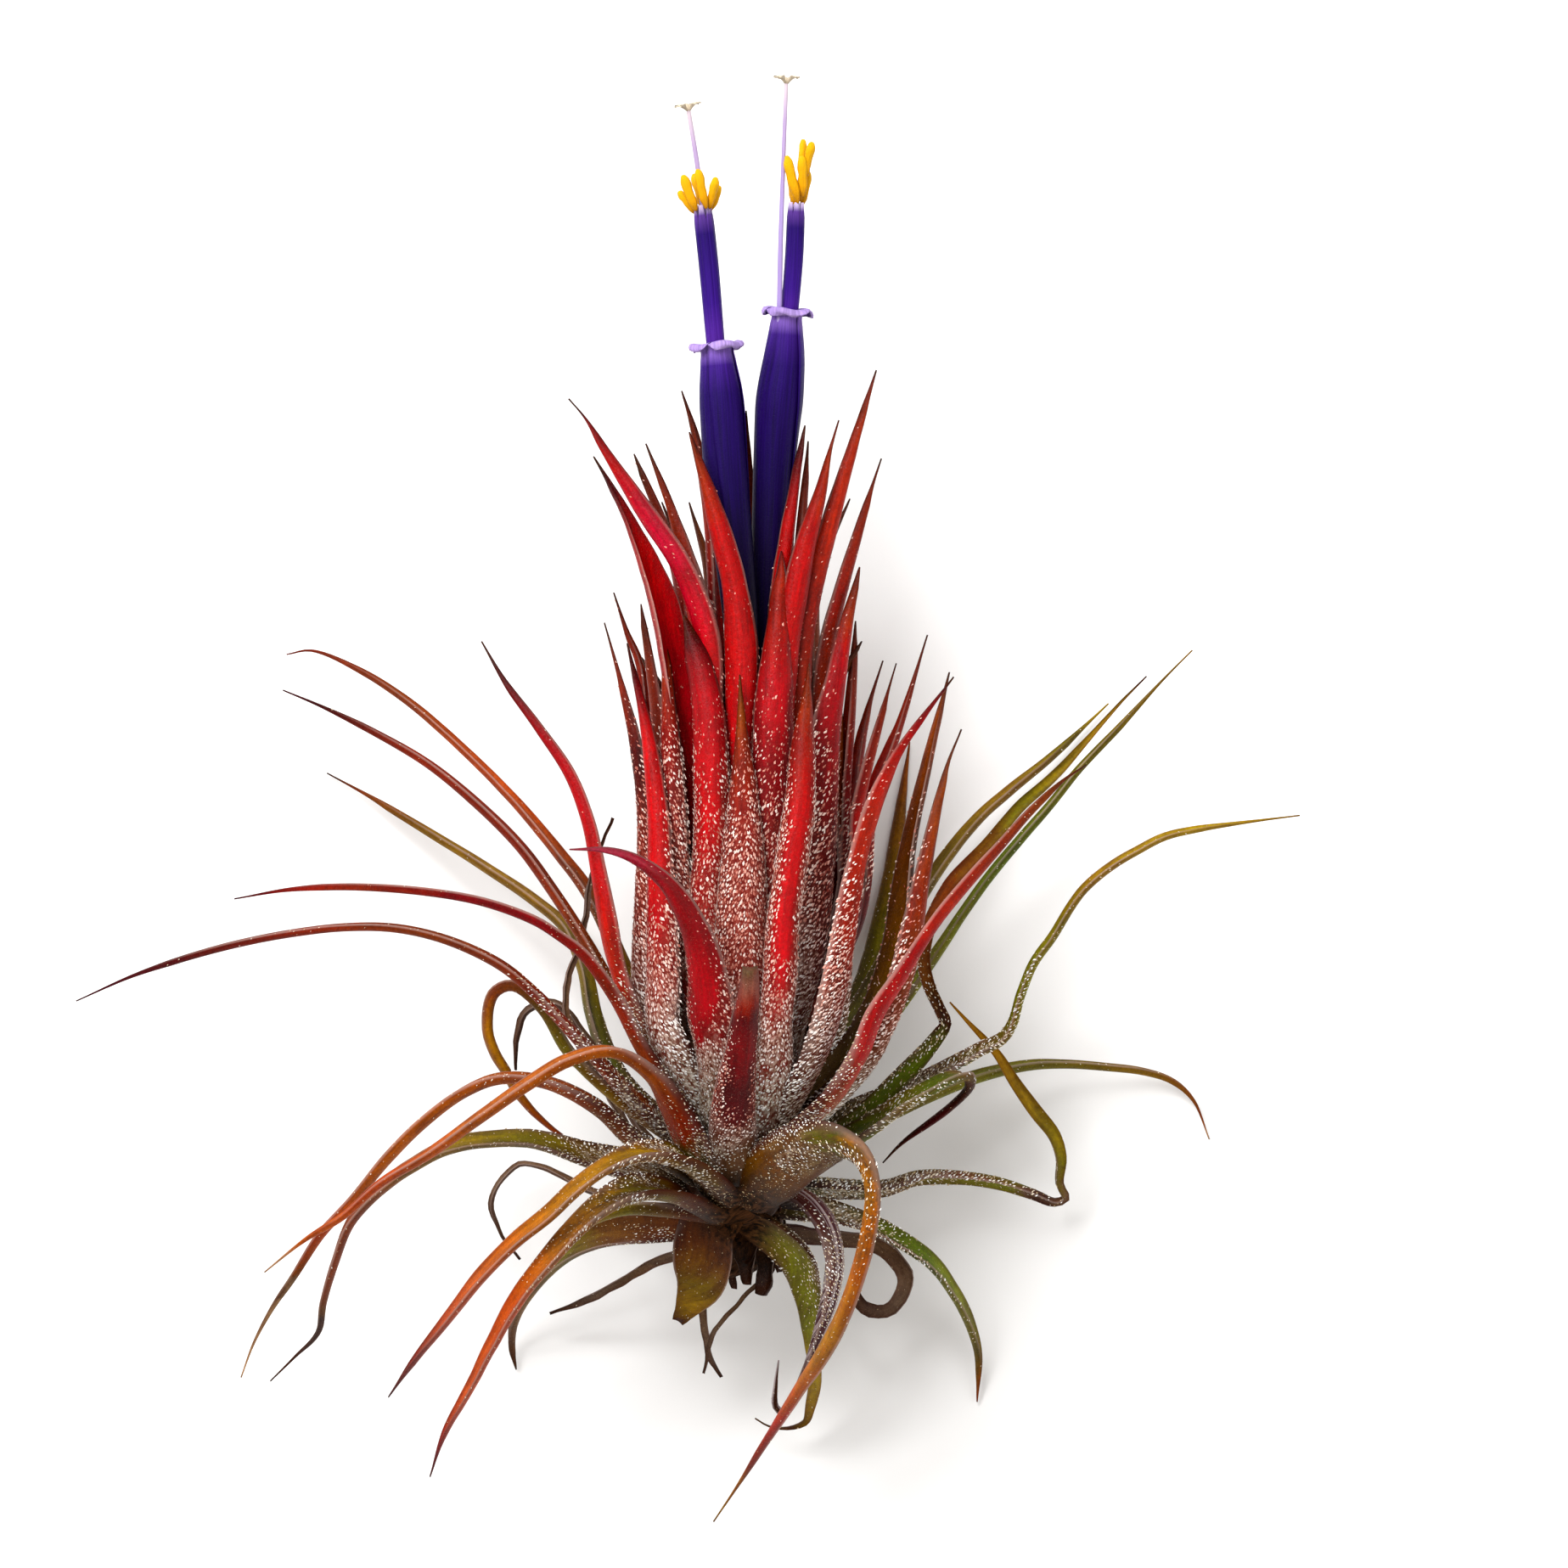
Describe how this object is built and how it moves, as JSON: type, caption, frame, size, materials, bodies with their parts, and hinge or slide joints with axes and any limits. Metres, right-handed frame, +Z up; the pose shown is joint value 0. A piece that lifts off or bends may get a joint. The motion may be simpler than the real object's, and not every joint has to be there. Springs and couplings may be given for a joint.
{
  "type": "flowering air plant",
  "caption": "Rootless air plant in bloom, lying on its side: a rosette of channelled red and olive leaves round tubular violet flowers with long stamens.",
  "frame": {"origin": "centre of the footprint of the lying plant, on the surface that it rests on", "axes": "+Y along the plant from its root to its flowers, +Z up from the surface, +X to the right as seen from above with the flowers away from the viewer"},
  "size_m": [0.1243, 0.1471, 0.0515],
  "materials": {
    "leaf_crimson": "satin leaf skin with sparse silver scales",
    "leaf_red": "satin leaf skin with silver scales at its base",
    "leaf_dusty": "leaf skin under a dense felt of silver scales",
    "leaf_orange": "satin leaf skin",
    "leaf_brown": "satin leaf skin",
    "leaf_olive": "satin leaf skin with silver scales",
    "leaf_green": "satin leaf skin with silver scales",
    "leaf_purple": "grooved leaf skin with silver scales in its grooves",
    "leaf_dried": "matt dry leaf",
    "petal": "velvety petal",
    "stamen": "satin filaments with powdery anthers",
    "pistil": "translucent waxy style"
  },
  "bodies": {
    "root": {"pistil_left": "pistil", "stamens_left": "stamen", "corolla_left": "petal", "pistil_right": "pistil", "stamens_right": "stamen", "corolla_right": "petal", "rosette_leaf_01": "leaf_dusty", "rosette_leaf_02": "leaf_crimson", "rosette_leaf_03": "leaf_red", "rosette_leaf_04": "leaf_dusty", "rosette_leaf_05": "leaf_red", "rosette_leaf_06": "leaf_red", "rosette_leaf_07": "leaf_dusty", "rosette_leaf_08": "leaf_red", "rosette_leaf_09": "leaf_dusty", "rosette_leaf_10": "leaf_dusty", "rosette_leaf_11": "leaf_red", "rosette_leaf_12": "leaf_red", "rosette_leaf_13": "leaf_orange", "rosette_leaf_14": "leaf_crimson", "rosette_leaf_15": "leaf_crimson", "rosette_leaf_16": "leaf_red", "rosette_leaf_17": "leaf_brown", "rosette_leaf_18": "leaf_olive", "rosette_leaf_19": "leaf_brown", "rosette_leaf_20": "leaf_brown", "rosette_leaf_21": "leaf_dusty", "outer_leaf_01": "leaf_orange", "outer_leaf_02": "leaf_brown", "outer_leaf_03": "leaf_olive", "outer_leaf_04": "leaf_crimson", "outer_leaf_05": "leaf_crimson", "outer_leaf_06": "leaf_brown", "outer_leaf_07": "leaf_olive", "outer_leaf_08": "leaf_orange", "outer_leaf_09": "leaf_orange", "outer_leaf_10": "leaf_brown", "outer_leaf_11": "leaf_orange", "outer_leaf_12": "leaf_orange", "outer_leaf_13": "leaf_olive", "outer_leaf_14": "leaf_brown", "outer_leaf_15": "leaf_olive", "outer_leaf_16": "leaf_orange", "outer_leaf_17": "leaf_green", "outer_leaf_18": "leaf_purple", "outer_leaf_19": "leaf_green", "outer_leaf_20": "leaf_green", "outer_leaf_21": "leaf_olive", "outer_leaf_22": "leaf_green", "outer_leaf_23": "leaf_olive", "outer_leaf_24": "leaf_green", "outer_leaf_25": "leaf_olive", "outer_leaf_26": "leaf_red", "outer_leaf_27": "leaf_green", "under_leaf_01": "leaf_olive", "under_leaf_02": "leaf_olive", "under_leaf_03": "leaf_olive", "core": "leaf_dusty", "dry_collar": "leaf_dried"}
  },
  "joints": []
}
